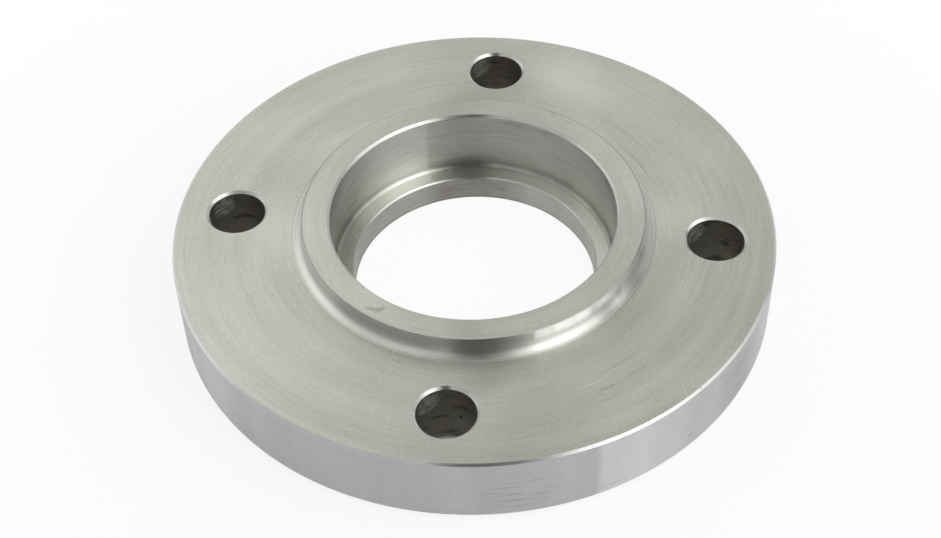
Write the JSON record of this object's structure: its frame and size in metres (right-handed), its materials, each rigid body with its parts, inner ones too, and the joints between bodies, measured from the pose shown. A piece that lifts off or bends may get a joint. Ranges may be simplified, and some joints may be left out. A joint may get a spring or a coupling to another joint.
{
  "type": "socket weld flange",
  "caption": "Round raised-face pipe flange with a short hub, a stepped socket that a pipe is welded into, and a circle of chamfered bolt holes.",
  "frame": {"origin": "centre of the raised gasket face, on the axis of the pipe", "axes": "+Z along the axis of the pipe, from the gasket face to the mouth of the socket; the bolt holes straddle X and Y"},
  "size_m": [0.19, 0.19, 0.0317],
  "materials": {
    "stainless_steel": "fine turned"
  },
  "bodies": {
    "root": {"flange": "stainless_steel"}
  },
  "joints": []
}
